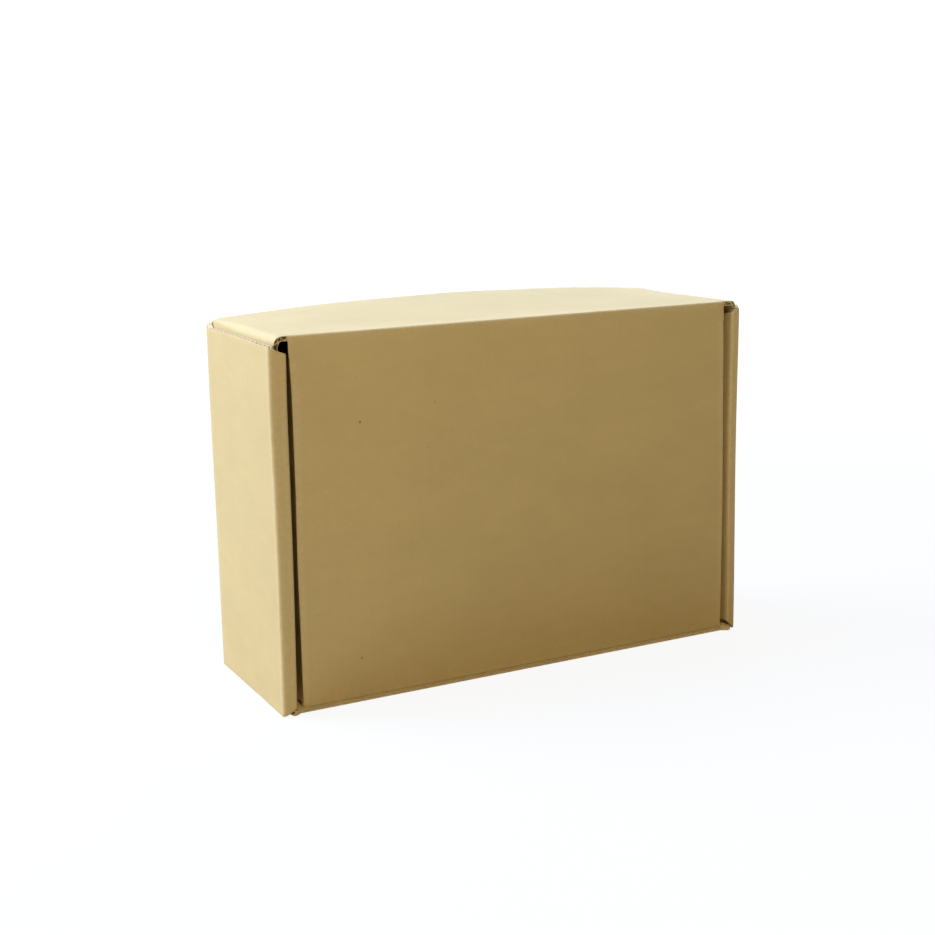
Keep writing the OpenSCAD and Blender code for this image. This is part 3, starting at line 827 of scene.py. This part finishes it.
def matt_surface(n, colour, height, tone, rough):
    """Surface with a relief of height in millimetres and a roughness that follows the fibres' tone."""
    bump = n.add("ShaderNodeBump", Strength=1.0, Distance=MM, Height=height).outputs[0]
    uneven = n.math("ADD", n.math("MULTIPLY", tone, rough[0]), rough[1])
    shader = n.add("ShaderNodeBsdfPrincipled", Base_Color=colour, Roughness=uneven, Normal=bump,
                   Specular_IOR_Level=PAPER_SHINE)
    n.add("ShaderNodeOutputMaterial", Surface=shader.outputs[0])


def kraft_face():
    """Kraft liner: uneven stock, fibres, flutes that just show through, folds lighter by rubbed fibres
    and a painted highlight, and shives.
    """
    material, n = empty_material("kraft_face")
    blank, fibres, colour = paper(n, KRAFT, FACE_TONES)
    fold = n.add("ShaderNodeAttribute", {"attribute_name": "fold"}).outputs["Fac"]
    place = n.add("ShaderNodeTexCoord").outputs["Object"]
    flutes = n.group(FLUTES, Blank=blank)
    rub_and_highlight = n.group(RUB_AND_HIGHLIGHT, Blank=blank, Fold=fold, Strength=0.42)
    shives = n.group(SPECKS, Blank=blank, Scale=95.0, Rarity=0.93, Size=0.06)

    def laid_over(under, mask, top):
        """Colour under mixed with the colour top, by the share mask."""
        mix = n.add("ShaderNodeMix", {"data_type": "RGBA"}, n0=mask, n6=under, n7=(*top, 1.0))
        return mix.outputs[2]

    # Folds lightened: rubbed fibres plus a painted highlight along each fold
    colour = laid_over(colour, rub_and_highlight["Mask"], RUBBED_AND_HIGHLIT)
    colour = laid_over(colour, n.math("MULTIPLY", shives["Mask"], SHIVE_SHARE), SHIVE)
    for marks, top in ((DARK_MARKS, SHIVE), (PALE_MARKS, PALE_SHIVE)):
        for (x, z), radius, share in marks:
            centre = (x * MM, FACE_Y * MM, z * MM)
            spot = n.group(SPOT, Vector=place, Centre=centre, Radius=radius * MM)["Mask"]
            colour = laid_over(colour, n.math("MULTIPLY", spot, share), top)
    height = n.math("ADD", n.math("MULTIPLY", flutes["Height"], FLUTE_RELIEF),
                    n.math("MULTIPLY", fibres["Height"], FIBRE_RELIEF))
    matt_surface(n, colour, height, fibres["Tone"], FACE_ROUGH)
    return material


def kraft_cut():
    """Die-cut edge: liner and medium paler than the face, partly their own colour and partly painted
    light that offsets the shade the edges lie in, with a coarse, torn tooth.
    """
    material, n = empty_material("kraft_cut_edge_painted_light")
    _, fibres, colour = paper(n, CUT_WITH_PAINTED_LIGHT, CUT_TONES)
    height = n.math("MULTIPLY", fibres["Height"], CUT_RELIEF)
    matt_surface(n, colour, height, fibres["Tone"], CUT_ROUGH)
    return material


FINISH = [kraft_face(), kraft_cut()]

for name, side in (("left", -1), ("right", 1)):
    make_piece("side_wall_" + name, "tray", "tray", side_wall(side), FINISH)
    make_piece("corner_flap_back_" + name, "tray", "tray", corner_flap(side, True), FINISH)
    make_piece("corner_flap_front_" + name, "tray", "tray", corner_flap(side, False), FINISH)
    make_piece("ear_" + name, "lid", "lid", ear(side), FINISH)
make_piece("front_base_back", "tray", "tray", centre_band(), FINISH)
make_piece("lid_and_tuck_flap", "lid", "lid", lid_band(), FINISH)


def seen_or_mirrored(n):
    """1 for a ray from the camera, or one that was mirrored or let through on its way."""
    path = n.add("ShaderNodeLightPath").outputs
    mirrored = n.math("MAXIMUM", path["Is Glossy Ray"], path["Is Transmission Ray"])
    return n.math("MAXIMUM", path["Is Camera Ray"], mirrored)


def pale_floor():
    """Flat floor, pale to the light and close to white to the camera, which keeps the box's shadow."""
    mesh = bpy.data.meshes.new("floor")
    square = (-1, -1), (1, -1), (1, 1), (-1, 1)
    mesh.from_pydata([(x * FLOOR_HALF, y * FLOOR_HALF, 0) for x, y in square], [], [(0, 1, 2, 3)])
    floor = in_scene("floor", mesh)
    material, n = empty_material("pale_floor")
    lit = n.add("ShaderNodeBsdfDiffuse", Color=(*FLOOR_BOUNCE, 1.0)).outputs[0]
    dim = n.add("ShaderNodeBsdfDiffuse", Color=(*FLOOR_LIT, 1.0)).outputs[0]
    place = n.add("ShaderNodeTexCoord").outputs["Object"]
    away = n.add("ShaderNodeVectorMath", {"operation": "LENGTH"}, n0=place)
    strength = n.span(away.outputs["Value"], *FLOOR_FADE, *FLOOR_GLOW)
    glow = n.add("ShaderNodeEmission", Color=(1, 1, 1, 1), Strength=strength).outputs[0]
    both = n.add("ShaderNodeAddShader", n0=dim, n1=glow).outputs[0]
    mixed = n.add("ShaderNodeMixShader", n0=seen_or_mirrored(n), n1=lit, n2=both).outputs[0]
    n.add("ShaderNodeOutputMaterial", Surface=mixed)
    mesh.materials.append(material)


def backdrop():
    """White backdrop for the camera and for reflections, and a soft even light for the rest."""
    world = bpy.data.worlds.new("backdrop")
    bpy.context.scene.world = world
    world.use_nodes = True
    world.node_tree.nodes.clear()
    n = Nodes(world.node_tree)
    light = n.add("ShaderNodeBackground", Color=(1, 1, 1, 1), Strength=EVEN_LIGHT).outputs[0]
    white = n.add("ShaderNodeBackground", Color=(1, 1, 1, 1), Strength=BACKDROP_WHITE).outputs[0]
    mixed = n.add("ShaderNodeMixShader", n0=seen_or_mirrored(n), n1=light, n2=white).outputs[0]
    n.add("ShaderNodeOutputWorld", Surface=mixed)


def soft_lamp(name, place, aim, size, power, colour):
    """Square soft lamp at place, in metres, turned towards aim."""
    data = bpy.data.lights.new(name, "AREA")
    data.size = size
    data.energy = power
    data.color = colour
    lamp = in_scene(name, data)
    lamp.location = place
    lamp.rotation_euler = (Vector(aim) - Vector(place)).to_track_quat("-Z", "Y").to_euler()


# Floor: half its width, its colour to the light and to the camera, its glow to the camera near the box
# and beyond, and the distances between which it grows
FLOOR_HALF, FLOOR_BOUNCE, FLOOR_LIT = 6.0, (0.65, 0.575, 0.41), (0.07, 0.07, 0.07)
FLOOR_GLOW, FLOOR_FADE = (0.91, 1.0), (0.5, 1.6)
BACKDROP_WHITE, EVEN_LIGHT = 1.0, 0.06
DAYLIGHT, LAMPLIGHT, SKYLIGHT = (0.79, 1.0, 1.30), (1.18, 1.0, 0.50), (1.05, 1.01, 1.12)
DAYLIGHT_BEHIND, BLUE_SKY = (0.92, 1.0, 1.04), (0.02, 0.30, 1.0)
MIDDLE = (0.0, 0.0, 0.1)
pale_floor()
backdrop()
# Lamps: place, aim and width in metres, power in watts and colour
soft_lamp("window", (-1.3, 1.0, 1.5), MIDDLE, 1.4, 66.0, DAYLIGHT)
soft_lamp("window_left", (-1.8, -0.1, 1.2), MIDDLE, 1.0, 8.0, SKYLIGHT)
soft_lamp("window_behind", (1.3, 1.6, 0.6), MIDDLE, 1.2, 24.0, DAYLIGHT_BEHIND)
soft_lamp("sky_above", (-0.1, 0.3, 1.5), (0.0, 0.0, 0.2), 0.5, 10.5, BLUE_SKY)
soft_lamp("room_lamp", (-0.25, -0.75, 1.1), (0.0, 0.0, 0.15), 0.5, 5.0, LAMPLIGHT)


def photo_camera():
    """Camera of the photograph: its place, and its axes from yaw, pitch and roll."""
    yaw, pitch, roll = (math.radians(v) for v in CAMERA_TURN)
    ahead = np.array([math.sin(yaw) * math.cos(pitch), math.cos(yaw) * math.cos(pitch),
                      -math.sin(pitch)])
    right = np.array([math.cos(yaw), -math.sin(yaw), 0.0])
    up = np.cross(right, ahead)
    x_axis = right * math.cos(roll) + up * math.sin(roll)
    y_axis = up * math.cos(roll) - right * math.sin(roll)
    data = bpy.data.cameras.new("photo_camera")
    data.sensor_width, data.lens = SENSOR_WIDTH, LENS
    camera = in_scene("photo_camera", data)
    turn = Matrix(np.stack([x_axis, y_axis, -ahead], axis=1).tolist()).to_4x4()
    camera.matrix_world = Matrix.Translation(CAMERA_PLACE) @ turn
    bpy.context.scene.camera = camera


# Camera: place in metres, turn in degrees, and sensor and lens in millimetres
CAMERA_PLACE = (-0.4359, -0.8152, 0.3184)
CAMERA_TURN = (27.59, 12.39, -0.85)
SENSOR_WIDTH, LENS = 36.0, 59.14
photo_camera()
bpy.context.scene.view_settings.view_transform = "Standard"
